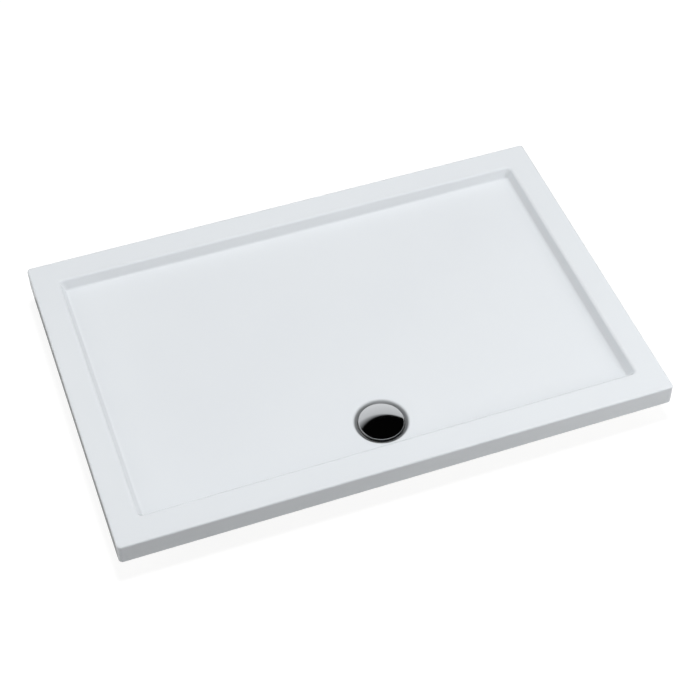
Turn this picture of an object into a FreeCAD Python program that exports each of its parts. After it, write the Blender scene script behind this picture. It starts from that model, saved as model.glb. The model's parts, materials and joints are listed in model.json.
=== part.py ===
import FreeCAD
import Part

import math
import os

# Low rectangular shower tray: a formed acrylic shell, stiffened below with glass fibre,
# a chipboard floor and timber battens, standing on screw feet over a shallow 90 mm waste.
# Millimetres. X is the long side, Y runs from the front edge to the wall behind, Z is up.
# The origin is on the floor, under the middle of the tray.

# ---- tray ----
TRAY_LENGTH = 1200.0
TRAY_WIDTH = 800.0
TRAY_HEIGHT = 48.0          # rim above the lower edge of the apron
STAND_HEIGHT = 60.0         # lower edge of the apron above the floor
SHORT_SIDE_RIM = 58.0       # rim width along the two short sides
LONG_SIDE_RIM = 62.0        # rim width along the two long sides
OUTER_CORNER_RADIUS = 9.0
INNER_CORNER_RADIUS = 8.0
RIM_OUTER_ROUND = 4.0
RIM_INNER_ROUND = 8.0
ACRYLIC = 4.0
FIBRE_BACKING = 2.5

# ---- basin ----
BASIN_DEPTH = 28.0          # rim to the edge of the sump
WALL_LEAN = 27.0            # degrees that the basin's walls lean outwards
WALL_FOOT_ROUND = 7.0
FLOOR_SLOPE = 0.8           # per cent, towards the waste from all sides
SUMP_GAP = 6.5              # waste flange to the upper edge of the sump
SUMP_DEPTH = 10.0
SUMP_WALL_RUN = 5.5         # the sump's wall leans this far
SUMP_FOOT_ROUND = 3.0
CUT_REACH = 5.0             # how far cutting shapes run past a face

# ---- stiffening ----
BOARD_THICKNESS = 12.0
BOARD_GAP = 0.5             # board edge to the battens
BATTEN_WIDTH = 40.0
UNDER_LAMINATE = 1.5
SUMP_CUTOUT_GAP = 3.5
OUTLET_CUTOUT_GAP = 10.0

# ---- feet ----
FOOT_FROM_END = 130.0       # corner feet, from the short sides
FOOT_FROM_EDGE = 110.0      # rows of feet, from the long sides
INNER_FEET_SPREAD = 170.0   # the four inner feet leave the middle free for the waste pipe
MIDDLE_FEET_Y = 150.0
STUD_RADIUS = 6.0
STUD_END_GAP = 2.0          # top of the stud to the end of its hole
STUD_HOLE_CLEARANCE = 0.6
THREAD_CLEARANCE = 0.1
SEAT_GAP = 0.3
PAD_RADIUS = 30.0
PAD_EDGE = 4.0
PAD_HEIGHT = 20.0
PAD_SOLE = 6.0              # under the stud's end
PAD_CONE_RADIUS = 23.0
PAD_NECK_RADIUS = 13.0
PAD_CONE_TOP = 14.0
STUD_HEX = 17.0             # across flats
STUD_HEX_HEIGHT = 6.0
NUT_HEX = 19.0
NUT_HEIGHT = 8.0
SOCKET_PLATE = 66.0
SOCKET_PLATE_THICKNESS = 3.0
SOCKET_CORNER = 8.0
SOCKET_BUSH_RADIUS = 11.0
SOCKET_RIB = 3.0
SOCKET_RIB_REACH = 27.0
SOCKET_RIB_ROOT = 1.0       # how far each rib runs into the bush
SOCKET_SCREW_SPACING = 50.0
WOOD_SCREW_RADIUS = 2.0
WOOD_SCREW_LENGTH = 11.0
WOOD_SCREW_HEAD_RADIUS = 4.0
WOOD_SCREW_HEAD = 2.4
SCREW_HOLE_CLEARANCE = 0.05
SCREW_SLOT = 0.9
SLOT_LENGTH = 0.6           # of the head's diameter

# ---- waste ----
WASTE_FROM_FRONT = 144.0
WASTE_HOLE_RADIUS = 45.0
TOP_GASKET = 1.5
BOTTOM_GASKET = 3.0
GASKET_INSET = 1.0          # gasket edge to the edge of the part that clamps it
FLANGE_RADIUS = 51.0
FLANGE_THICKNESS = 2.0
FLANGE_EDGE = 0.8           # bevel round the flange
SKIRT_GAP = 1.5             # flange skirt to the hole in the tray
SKIRT_WALL = 2.5
LEDGE_BELOW = 15.5          # flange top to the top of the screw ledge inside it
LEDGE_THICKNESS = 3.0
LEDGE_BORE_STEP = 0.25      # ledge bore wider than the deck bore below it
FLANGE_SCREWS = 4
FLANGE_SCREW_RADIUS = 2.0
FLANGE_SCREW_LENGTH = 14.0
FLANGE_SCREW_HEAD_RADIUS = 3.8
FLANGE_SCREW_HEAD = 2.6
TRAP_CLEAR_OF_FLOOR = 5.0
TRAP_RADIUS = 51.0
TRAP_WALL = 3.0
TRAP_COLLAR_LIP = 2.0
TRAP_COLLAR = 3.5
TRAP_BOTTOM_ROUND = 4.0
NECK_GAP = 0.5              # trap neck to the flange skirt
NECK_WALL = 2.5
DECK_GAP = 0.2              # trap deck to the flange ledge
DECK_THICKNESS = 4.0
WEIR_RADIUS = 42.0
WEIR_WALL = 2.0
WEIR_BELOW_DECK = 10.0
BOSS_RADIUS = 4.5
BOSS_LENGTH = 8.0
OUTLET_ABOVE_TRAP = 29.0    # outlet axis above the underside of the trap
OUTLET_TUBE_RADIUS = 20.0
OUTLET_TUBE_WALL = 2.5
OUTLET_TUBE_END = 68.0      # from the waste's axis
PIPE_RADIUS = 20.0          # the 40 mm waste pipe that plugs in
PIPE_CLEARANCE = 0.3
OUTLET_SOCKET_WALL = 3.7
OUTLET_SOCKET_END = 92.0
OUTLET_SHOULDER = 3.0
OUTLET_SEAL = 5.0
NUT_START = 76.0
NUT_LIP = 3.0
NUT_RADIUS = 28.0
NUT_THREAD_CLEARANCE = 0.2
NUT_GRIPS = 10
NUT_GRIP_RADIUS = 3.2

# ---- lift-out pieces ----
INSERT_RADIUS = 26.5
INSERT_WALL = 2.2
INSERT_RIM_SEAT = 3.3       # how far the rim rests on the ledge
INSERT_RIM = 1.5
INSERT_RIM_GAP = 0.7        # rim to the heads of the flange screws
INSERT_ABOVE_TRAP_FLOOR = 8.0
O_RING_CORD = 2.6
O_RING_GROOVE = 1.0
O_RING_LAND = 3.2
O_RING_SEAT_GAP = 0.1
O_RING_BORE_GAP = 0.05
STRAINER_RIM_INSET = 1.8
STRAINER_SHEET = 1.5
STRAINER_DEPTH = 6.5
STRAINER_GAP = 0.3
STRAINER_WALL = 1.2
STRAINER_POST_RADIUS = 6.0
STRAINER_POST_HEIGHT = 16.0
STRAINER_HOLE_RADIUS = 2.0
STRAINER_RINGS = ((6, 10.5), (12, 17.5))   # holes in each ring, and its radius
COVER_RADIUS = 48.0
COVER_SHEET = 1.2
COVER_ABOVE_FLANGE = 3.0    # the gap that the water runs in through
COVER_SKIRT = 3.4
COVER_RISE = 5.2
COVER_EDGE_ROUND = 2.5
CARRIER_LEGS = 6
CARRIER_LEG_WIDTH = 6.0
CARRIER_LEG_DEPTH = 4.0
CARRIER_SHEET = 1.8
CARRIER_RING = 8.0
CARRIER_EDGE_GAP = 1.5      # carrier ring to the inside of the cover's skirt
CARRIER_FIT = 0.2           # carrier to the underside of the dome
CARRIER_SPOKES = 3
CARRIER_SPOKE_WIDTH = 7.0
CARRIER_HUB_RADIUS = 7.0
STEM_RADIUS = 3.5
STEM_FIT = 0.15
STEM_ABOVE_BASKET = 8.5     # end of the stem above the floor of the basket

# ---- levels and places worked out from the sizes above ----
RIM_TOP = STAND_HEIGHT + TRAY_HEIGHT
SUMP_RADIUS = FLANGE_RADIUS + SUMP_GAP
SUMP_TOP = RIM_TOP - BASIN_DEPTH
SUMP_FLOOR = SUMP_TOP - SUMP_DEPTH
SKINS = ACRYLIC + FIBRE_BACKING
BOARD_TOP = SUMP_TOP - SKINS
BOARD_BOTTOM = BOARD_TOP - BOARD_THICKNESS
UNDERSIDE = BOARD_BOTTOM - UNDER_LAMINATE
SUMP_UNDERSIDE = SUMP_FLOOR - SKINS
WASTE_Y = WASTE_FROM_FRONT - TRAY_WIDTH / 2
BASIN_HALF_X = TRAY_LENGTH / 2 - SHORT_SIDE_RIM
BASIN_HALF_Y = TRAY_WIDTH / 2 - LONG_SIDE_RIM
LEAN = math.radians(WALL_LEAN)

FLANGE_BASE = SUMP_FLOOR + TOP_GASKET
FLANGE_TOP = FLANGE_BASE + FLANGE_THICKNESS
LEDGE_TOP = FLANGE_TOP - LEDGE_BELOW
SKIRT_RADIUS = WASTE_HOLE_RADIUS - SKIRT_GAP
O_RING_RADIUS = INSERT_RADIUS - O_RING_GROOVE + O_RING_SEAT_GAP + O_RING_CORD / 2
DECK_BORE_RADIUS = O_RING_RADIUS + O_RING_CORD / 2 + O_RING_BORE_GAP
LEDGE_BORE_RADIUS = DECK_BORE_RADIUS + LEDGE_BORE_STEP
INSERT_RIM_RADIUS = LEDGE_BORE_RADIUS + INSERT_RIM_SEAT
FLANGE_SCREW_CIRCLE = INSERT_RIM_RADIUS + INSERT_RIM_GAP + FLANGE_SCREW_HEAD_RADIUS
TRAP_COLLAR_RADIUS = TRAP_RADIUS + TRAP_COLLAR_LIP
COLLAR_TOP = SUMP_UNDERSIDE - BOTTOM_GASKET
COLLAR_BASE = COLLAR_TOP - TRAP_COLLAR
DECK_TOP = LEDGE_TOP - LEDGE_THICKNESS - DECK_GAP
DECK_BASE = DECK_TOP - DECK_THICKNESS
TRAP_BASE = TRAP_CLEAR_OF_FLOOR
TRAP_FLOOR = TRAP_BASE + TRAP_WALL
NECK_RADIUS = SKIRT_RADIUS + NECK_GAP
OUTLET_Z = TRAP_BASE + OUTLET_ABOVE_TRAP
SOCKET_BORE = PIPE_RADIUS + PIPE_CLEARANCE
OUTLET_SOCKET_RADIUS = SOCKET_BORE + OUTLET_SOCKET_WALL
INSERT_SEAT = LEDGE_TOP
STRAINER_SEAT = INSERT_SEAT + INSERT_RIM
BASKET_FLOOR = STRAINER_SEAT - STRAINER_DEPTH
COVER_BASE = FLANGE_TOP + COVER_ABOVE_FLANGE
OUTLET_END = OUTLET_SOCKET_END + OUTLET_SEAL + NUT_LIP

STUD_FOOT = PAD_SOLE + SEAT_GAP
STUD_HEX_BASE = PAD_HEIGHT + SEAT_GAP
NUT_BASE = STUD_HEX_BASE + STUD_HEX_HEIGHT + SEAT_GAP
BUSH_BASE = NUT_BASE + NUT_HEIGHT
PLATE_BASE = UNDERSIDE - SOCKET_PLATE_THICKNESS
STUD_TOP = BOARD_TOP - STUD_END_GAP

END_FEET_X = TRAY_LENGTH / 2 - FOOT_FROM_END
EDGE_FEET_Y = TRAY_WIDTH / 2 - FOOT_FROM_EDGE
FEET = {
    "back_left": (-END_FEET_X, EDGE_FEET_Y),
    "back_right": (END_FEET_X, EDGE_FEET_Y),
    "middle_left": (-INNER_FEET_SPREAD, MIDDLE_FEET_Y),
    "middle_right": (INNER_FEET_SPREAD, MIDDLE_FEET_Y),
    "front_left": (-END_FEET_X, -EDGE_FEET_Y),
    "front_right": (END_FEET_X, -EDGE_FEET_Y),
    "waste_left": (-INNER_FEET_SPREAD, -EDGE_FEET_Y),
    "waste_right": (INNER_FEET_SPREAD, -EDGE_FEET_Y),
}


# ---- shape helpers ----
def point(x, y, z=0.0):
    return FreeCAD.Vector(x, y, z)


def arc(centre, radius, start, end):
    """An arc in a level plane, from one angle to another, in degrees."""
    def at(angle):
        turn = math.radians(angle)
        return centre + point(radius * math.cos(turn), radius * math.sin(turn))
    return Part.Arc(at(start), at((start + end) / 2), at(end)).toShape()


def rounded_rectangle(half_x, half_y, radius, z):
    """A level outline round the Z axis that starts at the right-hand side."""
    in_x, in_y = half_x - radius, half_y - radius
    corners = (
        (in_x, in_y, 0, 90), (-in_x, in_y, 90, 180), (-in_x, -in_y, 180, 270), (in_x, -in_y, 270, 360),
    )
    edges = []
    last = point(half_x, -in_y, z)
    for x, y, start, end in corners:
        bend = arc(point(x, y, z), radius, start, end)
        edges.append(Part.makeLine(last, bend.firstVertex().Point))
        edges.append(bend)
        last = bend.lastVertex().Point
    return Part.Wire(edges)


def rounded_block(half_x, half_y, radius, base, top):
    face = Part.Face(rounded_rectangle(half_x, half_y, radius, base))
    return face.extrude(point(0, 0, top - base))


def turned(outline, x=0.0, y=0.0):
    """A solid of revolution round a vertical axis at x, y, from (radius, height) pairs."""
    wire = Part.makePolygon([point(radius, 0, z) for radius, z in [*outline, outline[0]]])
    solid = Part.Face(wire).revolve(point(0, 0), point(0, 0, 1), 360)
    solid.translate(point(x, y))
    return solid


def ring(outer, inner, base, top, x=0.0, y=0.0):
    return turned([(inner, base), (outer, base), (outer, top), (inner, top)], x, y)


def rod(radius, base, top, x=0.0, y=0.0):
    return Part.makeCylinder(radius, top - base, point(x, y, base))


def hexagon(across_flats, base, top, x, y):
    corner = across_flats / 2 / math.cos(math.radians(30))
    ends = [point(x, y, base) + point(corner * math.cos(math.radians(60 * n)),
                                      corner * math.sin(math.radians(60 * n))) for n in range(7)]
    return Part.Face(Part.makePolygon(ends)).extrude(point(0, 0, top - base))


def around(count, radius, x, y, first=0.0):
    """Points spaced evenly on a circle, each with its own angle in degrees."""
    for n in range(count):
        angle = first + 360.0 * n / count
        turn = math.radians(angle)
        yield x + radius * math.cos(turn), y + radius * math.sin(turn), angle


def block_at(length, width, base, top, x, y, angle=0.0):
    """A block centred on x, y and turned about the vertical."""
    block = Part.makeBox(length, width, top - base, point(-length / 2, -width / 2, base))
    block.rotate(point(0, 0), point(0, 0, 1), angle)
    block.translate(point(x, y))
    return block


def level_edges(solid, z, keep):
    """Edges that lie wholly at one height and pass a test on their middle."""
    found = []
    for edge in solid.Edges:
        box = edge.BoundBox
        middle = edge.valueAt((edge.FirstParameter + edge.LastParameter) / 2)
        if abs(box.ZMin - z) < 1e-3 and abs(box.ZMax - z) < 1e-3 and keep(middle):
            found.append(edge)
    return found


def from_waste(spot):
    return math.hypot(spot.x, spot.y - WASTE_Y)


# ---- tray body ----
def tray_block(inset):
    """The tray's outside, drawn in by one or more skins."""
    return rounded_block(
        TRAY_LENGTH / 2 - inset, TRAY_WIDTH / 2 - inset, OUTER_CORNER_RADIUS - inset,
        STAND_HEIGHT, RIM_TOP - inset,
    )


def basin_outline(z, grow):
    """The basin's outline at a height, grown outwards by a skin measured square to the wall."""
    sideways = grow / math.cos(LEAN) - (RIM_TOP - z) * math.tan(LEAN)
    return rounded_rectangle(
        BASIN_HALF_X + sideways, BASIN_HALF_Y + sideways, INNER_CORNER_RADIUS + grow, z
    )


def basin(grow):
    """The space inside the tray, grown outwards and down by one or more skins."""
    flat = SUMP_TOP - grow
    reach = TRAY_LENGTH
    rise = (reach - SUMP_RADIUS) * FLOOR_SLOPE / 100
    walls = Part.makeLoft(
        [basin_outline(flat - CUT_REACH, grow), basin_outline(RIM_TOP + CUT_REACH, grow)], True, True
    )
    above_floor = turned([
        (0, flat), (SUMP_RADIUS, flat), (reach, flat + rise),
        (reach, RIM_TOP + 2 * CUT_REACH), (0, RIM_TOP + 2 * CUT_REACH),
    ], 0, WASTE_Y)
    space = walls.common(above_floor)
    foot_edges = [
        edge for edge in space.Edges
        if edge.BoundBox.ZMax < flat + rise and from_waste(edge.firstVertex().Point) > SUMP_RADIUS + 1
    ]
    space = space.makeFillet(WALL_FOOT_ROUND + grow, foot_edges)
    sump = turned([
        (0, SUMP_FLOOR - grow), (SUMP_RADIUS - SUMP_WALL_RUN + grow, SUMP_FLOOR - grow),
        (SUMP_RADIUS + grow, flat), (SUMP_RADIUS + grow, flat + CUT_REACH), (0, flat + CUT_REACH),
    ], 0, WASTE_Y)
    sump_foot = level_edges(sump, SUMP_FLOOR - grow, lambda spot: from_waste(spot) > 1)
    sump = sump.makeFillet(SUMP_FOOT_ROUND + grow, sump_foot)
    return space.fuse(sump)


def waste_hole(base, top):
    return rod(WASTE_HOLE_RADIUS, base, top, 0, WASTE_Y)


def tray_shell():
    outside = tray_block(0)
    top_edges = level_edges(outside, RIM_TOP, lambda spot: True)
    outside = outside.makeFillet(RIM_OUTER_ROUND, top_edges)
    shell = outside.cut(basin(0))
    rim_edges = level_edges(
        shell, RIM_TOP, lambda spot: abs(spot.x) < BASIN_HALF_X + 1 and abs(spot.y) < BASIN_HALF_Y + 1
    )
    shell = shell.makeFillet(RIM_INNER_ROUND, rim_edges)
    shell = shell.cut(tray_block(ACRYLIC).cut(basin(ACRYLIC)))
    return shell.cut(waste_hole(SUMP_UNDERSIDE - CUT_REACH, SUMP_TOP))


def rim_hollow():
    """What is left inside the rim and under the floor once both skins are on."""
    over_board = Part.Face(basin_outline(SUMP_TOP, SKINS)).extrude(point(0, 0, CUT_REACH))
    over_board.translate(point(0, 0, BOARD_TOP - SUMP_TOP))
    return tray_block(SKINS).cut(basin(SKINS).fuse(over_board))


def glass_fibre_backing():
    backing = tray_block(ACRYLIC).cut(basin(ACRYLIC)).cut(rim_hollow())
    return backing.cut(waste_hole(SUMP_UNDERSIDE - CUT_REACH, SUMP_TOP))


def trap_cutout(base, top):
    """The opening in the board and the lower laminate for the trap and its outlet."""
    half_width = NUT_RADIUS + OUTLET_CUTOUT_GAP
    slot = Part.makeBox(
        2 * half_width, OUTLET_END + OUTLET_CUTOUT_GAP, top - base, point(-half_width, WASTE_Y, base)
    )
    return rod(SUMP_RADIUS + SKINS + SUMP_CUTOUT_GAP, base, top, 0, WASTE_Y).fuse(slot)


def socket_screw_spots(x, y):
    half = SOCKET_SCREW_SPACING / 2
    return [(x + sx * half, y + sy * half) for sx in (-1, 1) for sy in (-1, 1)]


def foot_holes(base, top):
    """Holes for every stud and for the screws of every foot socket."""
    holes = []
    for x, y in FEET.values():
        holes.append(rod(STUD_RADIUS + STUD_HOLE_CLEARANCE, base, top, x, y))
        for sx, sy in socket_screw_spots(x, y):
            screw_top = min(top, PLATE_BASE + WOOD_SCREW_LENGTH + SEAT_GAP)
            holes.append(rod(WOOD_SCREW_RADIUS + SCREW_HOLE_CLEARANCE, base, screw_top, sx, sy))
    return holes


def floor_board():
    half_x = TRAY_LENGTH / 2 - SKINS - BATTEN_WIDTH - BOARD_GAP
    half_y = TRAY_WIDTH / 2 - SKINS - BATTEN_WIDTH - BOARD_GAP
    board = Part.makeBox(
        2 * half_x, 2 * half_y, BOARD_THICKNESS, point(-half_x, -half_y, BOARD_BOTTOM)
    )
    board = board.cut(trap_cutout(BOARD_BOTTOM - CUT_REACH, BOARD_TOP + CUT_REACH))
    return board.cut(foot_holes(BOARD_BOTTOM - CUT_REACH, BOARD_TOP + CUT_REACH))


def battens():
    """Four timber strips that fill the hollow of the rim."""
    hollow = rim_hollow()
    out_x = TRAY_LENGTH / 2 - SKINS
    out_y = TRAY_WIDTH / 2 - SKINS
    height = RIM_TOP - SKINS - BOARD_BOTTOM
    long_strip = Part.makeBox(2 * out_x, BATTEN_WIDTH, height, point(-out_x, -out_y, BOARD_BOTTOM))
    short_strip = Part.makeBox(
        BATTEN_WIDTH, 2 * (out_y - BATTEN_WIDTH), height,
        point(-out_x, BATTEN_WIDTH - out_y, BOARD_BOTTOM),
    )
    back_strip = long_strip.translated(point(0, 2 * out_y - BATTEN_WIDTH))
    right_strip = short_strip.translated(point(2 * out_x - BATTEN_WIDTH, 0))
    strips = {"front": long_strip, "back": back_strip, "left": short_strip, "right": right_strip}
    return {f"rim_batten_{side}": strip.common(hollow) for side, strip in strips.items()}


def underside_laminate():
    sheet = rounded_block(
        TRAY_LENGTH / 2 - SKINS, TRAY_WIDTH / 2 - SKINS, OUTER_CORNER_RADIUS - SKINS,
        UNDERSIDE, BOARD_BOTTOM,
    )
    sheet = sheet.cut(trap_cutout(UNDERSIDE - CUT_REACH, BOARD_TOP))
    return sheet.cut(foot_holes(UNDERSIDE - CUT_REACH, BOARD_TOP))


# ---- feet ----
def slotted_head(head, radius, x, y, z, depth):
    """A screw head with a cross cut into it, upwards or downwards from z."""
    low, high = min(z, z + depth), max(z, z + depth)
    for angle in (45, 135):
        head = head.cut(block_at(2 * radius * SLOT_LENGTH, SCREW_SLOT, low, high, x, y, angle))
    return head


def foot_socket(x, y):
    half = SOCKET_PLATE / 2
    plate = rounded_block(half, half, SOCKET_CORNER, PLATE_BASE, UNDERSIDE)
    bush = rod(SOCKET_BUSH_RADIUS, BUSH_BASE, PLATE_BASE)
    socket = plate.fuse(bush)
    for angle in range(0, 360, 90):
        rib_face = Part.Face(Part.makePolygon([
            point(SOCKET_BUSH_RADIUS - SOCKET_RIB_ROOT, -SOCKET_RIB / 2, PLATE_BASE),
            point(SOCKET_RIB_REACH, -SOCKET_RIB / 2, PLATE_BASE),
            point(SOCKET_BUSH_RADIUS - SOCKET_RIB_ROOT, -SOCKET_RIB / 2, BUSH_BASE + SOCKET_RIB),
            point(SOCKET_BUSH_RADIUS - SOCKET_RIB_ROOT, -SOCKET_RIB / 2, PLATE_BASE),
        ]))
        rib = rib_face.extrude(point(0, SOCKET_RIB, 0))
        rib.rotate(point(0, 0), point(0, 0, 1), angle)
        socket = socket.fuse(rib)
    socket = socket.removeSplitter()
    socket.translate(point(x, y))
    socket = socket.cut(rod(STUD_RADIUS + THREAD_CLEARANCE, BUSH_BASE, UNDERSIDE, x, y))
    for sx, sy in socket_screw_spots(x, y):
        socket = socket.cut(rod(WOOD_SCREW_RADIUS + SCREW_HOLE_CLEARANCE, PLATE_BASE, UNDERSIDE, sx, sy))
    return socket


def foot_pad(x, y):
    pad = turned([
        (0, 0), (PAD_RADIUS, 0), (PAD_RADIUS, PAD_EDGE), (PAD_CONE_RADIUS, PAD_EDGE),
        (PAD_NECK_RADIUS, PAD_CONE_TOP), (PAD_NECK_RADIUS, PAD_HEIGHT), (0, PAD_HEIGHT),
    ], x, y)
    return pad.cut(rod(STUD_RADIUS + THREAD_CLEARANCE, PAD_SOLE, PAD_HEIGHT, x, y))


def foot_stud(x, y):
    stud = rod(STUD_RADIUS, STUD_FOOT, STUD_TOP, x, y)
    return stud.fuse(hexagon(STUD_HEX, STUD_HEX_BASE, STUD_HEX_BASE + STUD_HEX_HEIGHT, x, y))


def lock_nuts():
    nuts = []
    for x, y in FEET.values():
        nut = hexagon(NUT_HEX, NUT_BASE, BUSH_BASE, x, y)
        nuts.append(nut.cut(rod(STUD_RADIUS + THREAD_CLEARANCE, NUT_BASE, BUSH_BASE, x, y)))
    return Part.makeCompound(nuts)


def socket_screws():
    screws = []
    for x, y in FEET.values():
        for sx, sy in socket_screw_spots(x, y):
            head_base = PLATE_BASE - WOOD_SCREW_HEAD
            head = rod(WOOD_SCREW_HEAD_RADIUS, head_base, PLATE_BASE, sx, sy)
            rim = level_edges(head, head_base, lambda spot: True)
            head = head.makeFillet(WOOD_SCREW_HEAD / 2, rim)
            head = slotted_head(head, WOOD_SCREW_HEAD_RADIUS, sx, sy, head_base, WOOD_SCREW_HEAD / 2)
            shank = rod(WOOD_SCREW_RADIUS, PLATE_BASE, PLATE_BASE + WOOD_SCREW_LENGTH, sx, sy)
            screws.append(head.fuse(shank))
    return Part.makeCompound(screws)


# ---- waste ----
def along_outlet(outline):
    """A solid of revolution on the outlet's axis, from (radius, distance from the waste) pairs."""
    wire = Part.makePolygon([
        point(radius, WASTE_Y + reach, OUTLET_Z) for radius, reach in [*outline, outline[0]]
    ])
    return Part.Face(wire).revolve(point(0, WASTE_Y, OUTLET_Z), point(0, 1, 0), 360)


def waste_flange():
    flange = turned([
        (LEDGE_BORE_RADIUS, LEDGE_TOP - LEDGE_THICKNESS), (SKIRT_RADIUS, LEDGE_TOP - LEDGE_THICKNESS),
        (SKIRT_RADIUS, FLANGE_BASE), (FLANGE_RADIUS, FLANGE_BASE),
        (FLANGE_RADIUS, FLANGE_TOP - FLANGE_EDGE), (FLANGE_RADIUS - FLANGE_EDGE, FLANGE_TOP),
        (SKIRT_RADIUS - SKIRT_WALL, FLANGE_TOP), (SKIRT_RADIUS - SKIRT_WALL, LEDGE_TOP),
        (LEDGE_BORE_RADIUS, LEDGE_TOP),
    ], 0, WASTE_Y)
    for x, y, _ in around(FLANGE_SCREWS, FLANGE_SCREW_CIRCLE, 0, WASTE_Y, 45):
        flange = flange.cut(rod(
            FLANGE_SCREW_RADIUS + 2 * SCREW_HOLE_CLEARANCE, LEDGE_TOP - LEDGE_THICKNESS, LEDGE_TOP, x, y
        ))
    return flange


def flange_screws():
    screws = []
    for x, y, _ in around(FLANGE_SCREWS, FLANGE_SCREW_CIRCLE, 0, WASTE_Y, 45):
        head_top = LEDGE_TOP + FLANGE_SCREW_HEAD
        head = rod(FLANGE_SCREW_HEAD_RADIUS, LEDGE_TOP, head_top, x, y)
        head = head.makeFillet(FLANGE_SCREW_HEAD / 2, level_edges(head, head_top, lambda spot: True))
        head = slotted_head(head, FLANGE_SCREW_HEAD_RADIUS, x, y, head_top, -FLANGE_SCREW_HEAD / 2)
        shank = rod(FLANGE_SCREW_RADIUS, LEDGE_TOP - FLANGE_SCREW_LENGTH, LEDGE_TOP, x, y)
        screws.append(head.fuse(shank))
    return Part.makeCompound(screws)


def trap_body():
    body = turned([
        (NECK_RADIUS, COLLAR_TOP), (TRAP_COLLAR_RADIUS, COLLAR_TOP), (TRAP_COLLAR_RADIUS, COLLAR_BASE),
        (TRAP_RADIUS, COLLAR_BASE), (TRAP_RADIUS, TRAP_BASE), (0, TRAP_BASE), (0, TRAP_FLOOR),
        (TRAP_RADIUS - TRAP_WALL, TRAP_FLOOR), (TRAP_RADIUS - TRAP_WALL, COLLAR_BASE),
        (NECK_RADIUS + NECK_WALL, COLLAR_BASE), (NECK_RADIUS + NECK_WALL, DECK_BASE),
        (DECK_BORE_RADIUS, DECK_BASE), (DECK_BORE_RADIUS, DECK_TOP), (NECK_RADIUS, DECK_TOP),
    ], 0, WASTE_Y)
    outer_foot = level_edges(body, TRAP_BASE, lambda spot: from_waste(spot) > TRAP_RADIUS / 2)
    body = body.makeFillet(TRAP_BOTTOM_ROUND, outer_foot)
    branch = along_outlet([
        (0, 0), (OUTLET_TUBE_RADIUS, 0), (OUTLET_TUBE_RADIUS, OUTLET_TUBE_END),
        (OUTLET_SOCKET_RADIUS, OUTLET_TUBE_END), (OUTLET_SOCKET_RADIUS, OUTLET_SOCKET_END),
        (0, OUTLET_SOCKET_END),
    ])
    cup = rod(TRAP_RADIUS - TRAP_WALL, TRAP_FLOOR, COLLAR_BASE, 0, WASTE_Y)
    body = body.fuse(branch.cut(cup))
    tube_bore = OUTLET_TUBE_RADIUS - OUTLET_TUBE_WALL
    body = body.cut(along_outlet([
        (0, 0), (tube_bore, 0), (tube_bore, OUTLET_TUBE_END + OUTLET_SHOULDER),
        (SOCKET_BORE, OUTLET_TUBE_END + OUTLET_SHOULDER), (SOCKET_BORE, OUTLET_SOCKET_END),
        (0, OUTLET_SOCKET_END),
    ]))
    body = body.fuse(ring(
        WEIR_RADIUS, WEIR_RADIUS - WEIR_WALL, TRAP_FLOOR, DECK_BASE - WEIR_BELOW_DECK, 0, WASTE_Y
    ))
    for x, y, _ in around(FLANGE_SCREWS, FLANGE_SCREW_CIRCLE, 0, WASTE_Y, 45):
        body = body.fuse(rod(BOSS_RADIUS, DECK_BASE - BOSS_LENGTH, DECK_BASE, x, y))
        body = body.cut(rod(
            FLANGE_SCREW_RADIUS + SCREW_HOLE_CLEARANCE,
            LEDGE_TOP - FLANGE_SCREW_LENGTH - SEAT_GAP, DECK_TOP, x, y,
        ))
    return body


def outlet_nut():
    lip = OUTLET_SOCKET_END + OUTLET_SEAL
    thread = OUTLET_SOCKET_RADIUS + NUT_THREAD_CLEARANCE
    nut = along_outlet([
        (thread, NUT_START), (NUT_RADIUS, NUT_START), (NUT_RADIUS, OUTLET_END),
        (SOCKET_BORE, OUTLET_END), (SOCKET_BORE, lip), (thread, lip),
    ])
    grip_circle = NUT_RADIUS + NUT_GRIP_RADIUS / 2
    for across, up, _ in around(NUT_GRIPS, grip_circle, 0, OUTLET_Z):
        start = point(across, WASTE_Y + NUT_START, up)
        nut = nut.cut(Part.makeCylinder(NUT_GRIP_RADIUS, OUTLET_END - NUT_START, start, point(0, 1, 0)))
    return nut


def outlet_seal():
    end = OUTLET_SOCKET_END + OUTLET_SEAL
    return along_outlet([
        (SOCKET_BORE, OUTLET_SOCKET_END), (OUTLET_SOCKET_RADIUS, OUTLET_SOCKET_END),
        (OUTLET_SOCKET_RADIUS, end), (SOCKET_BORE, end),
    ])


# ---- lift-out pieces ----
def o_ring_height():
    return DECK_TOP - DECK_THICKNESS / 2


def trap_insert():
    groove_low = o_ring_height() - O_RING_LAND / 2
    groove_high = o_ring_height() + O_RING_LAND / 2
    bore = INSERT_RADIUS - INSERT_WALL
    foot = TRAP_FLOOR + INSERT_ABOVE_TRAP_FLOOR
    return turned([
        (bore, foot), (INSERT_RADIUS, foot), (INSERT_RADIUS, groove_low),
        (INSERT_RADIUS - O_RING_GROOVE, groove_low), (INSERT_RADIUS - O_RING_GROOVE, groove_high),
        (INSERT_RADIUS, groove_high), (INSERT_RADIUS, INSERT_SEAT), (INSERT_RIM_RADIUS, INSERT_SEAT),
        (INSERT_RIM_RADIUS, INSERT_SEAT + INSERT_RIM), (bore, INSERT_SEAT + INSERT_RIM),
    ], 0, WASTE_Y)


def insert_o_ring():
    return Part.makeTorus(O_RING_RADIUS, O_RING_CORD / 2, point(0, WASTE_Y, o_ring_height()))


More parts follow.
